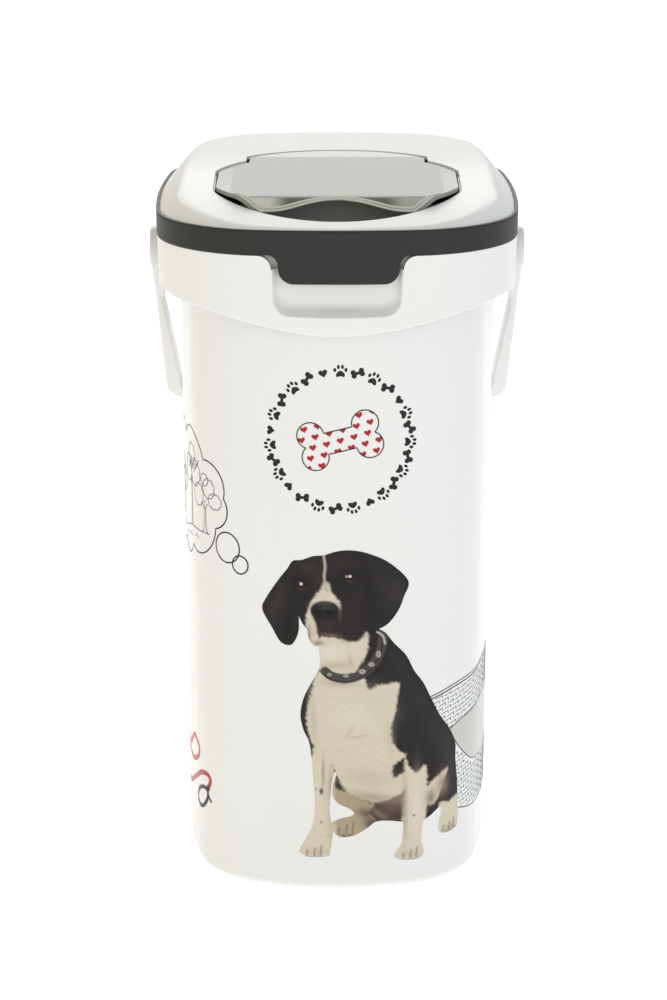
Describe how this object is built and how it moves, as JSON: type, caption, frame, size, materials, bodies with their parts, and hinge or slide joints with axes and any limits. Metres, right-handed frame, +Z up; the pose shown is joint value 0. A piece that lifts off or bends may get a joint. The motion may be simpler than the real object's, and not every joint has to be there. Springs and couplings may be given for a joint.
{
  "type": "pet food bin",
  "caption": "Tall oval dry pet food bin with a printed white tub, hinged two-tone lid, flip-up pouring flap and a swinging bail handle.",
  "frame": {"origin": "middle of the tub's flat underside, in the plane that the bin stands on", "axes": "+Z up the bin's height; the front, with the lid's latch tab, faces -Y; +X to the right seen from the front"},
  "size_m": [0.2648, 0.3105, 0.5],
  "materials": {
    "white_shell": "satin moulded polypropylene",
    "printed_film": "glossy in-mould printed film",
    "white_cover": "fine satin moulded polypropylene",
    "white_handle": "satin moulded polypropylene",
    "charcoal": "fine matte grain",
    "charcoal_gloss": "smooth moulded",
    "smoke_plastic": "frosted smoke panel with a polished border",
    "seal_rubber": "soft matte",
    "pin_steel": "drawn wire"
  },
  "bodies": {
    "bin": {"tub": "white_shell", "printed_film": "printed_film", "lid_hinge_pin": "pin_steel"},
    "lid": {"lid_frame": "charcoal", "lid_seal": "seal_rubber", "lid_cover": "white_cover", "pouring_insert": "charcoal_gloss", "flap_seal": "seal_rubber", "flap_pin_left": "charcoal_gloss", "flap_pin_right": "charcoal_gloss"},
    "flap": {"flap": "smoke_plastic"},
    "handle": {"handle": "white_handle"}
  },
  "joints": [
    {"name": "lid_hinge", "type": "hinge", "parent": "bin", "child": "lid", "pos_m": [0, 0.1555, 0.466], "axis": [-1, 0, 0], "range_deg": [0, 100]},
    {"name": "flap_hinge", "type": "hinge", "parent": "lid", "child": "flap", "pos_m": [0, 0.012, 0.4932], "axis": [-1, 0, 0], "range_deg": [0, 85]},
    {"name": "handle_swing", "type": "hinge", "parent": "bin", "child": "handle", "pos_m": [0, 0, 0.438], "axis": [1, 0, 0], "range_deg": [0, 268]}
  ]
}
